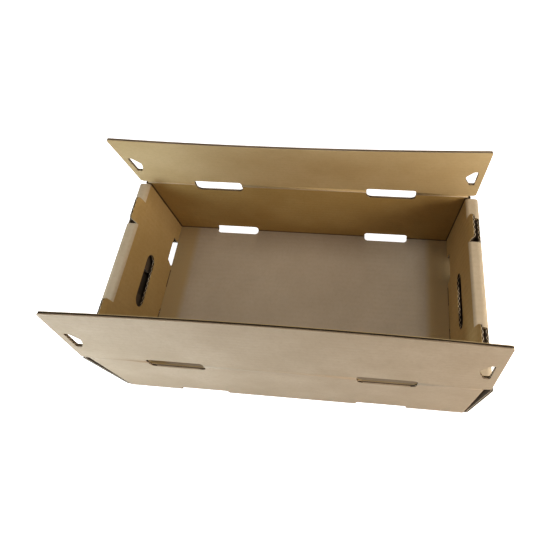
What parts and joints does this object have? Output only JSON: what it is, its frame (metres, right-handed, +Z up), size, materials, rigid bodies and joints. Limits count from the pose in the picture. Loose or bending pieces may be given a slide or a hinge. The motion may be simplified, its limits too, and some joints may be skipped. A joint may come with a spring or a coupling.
{
  "type": "cardboard tray box",
  "caption": "Long shallow corrugated tray with rolled end walls, hand holes and stacking tabs, closed by long hinged lid flaps that meet in the middle.",
  "frame": {"origin": "on the ground under the middle of the floor", "axes": "+X along the box, +Y to the back wall, +Z up"},
  "size_m": [0.509, 0.2652, 0.2752],
  "materials": {
    "tray_board": "matte brown kraft liner over open flutes",
    "flap_board": "matte brown kraft liner over open flutes"
  },
  "bodies": {
    "tray": {"tray": "tray_board"},
    "back_flap": {"back_flap": "flap_board"},
    "front_flap": {"front_flap": "flap_board"}
  },
  "joints": [
    {"name": "back_flap_fold", "type": "hinge", "parent": "tray", "child": "back_flap", "pos_m": [0, 0.1326, 0.148], "axis": [1, 0, 0], "range_deg": [-177.8, 82.2]},
    {"name": "front_flap_fold", "type": "hinge", "parent": "tray", "child": "front_flap", "pos_m": [0, -0.1326, 0.148], "axis": [-1, 0, 0], "range_deg": [-174.7, 85.3]}
  ]
}
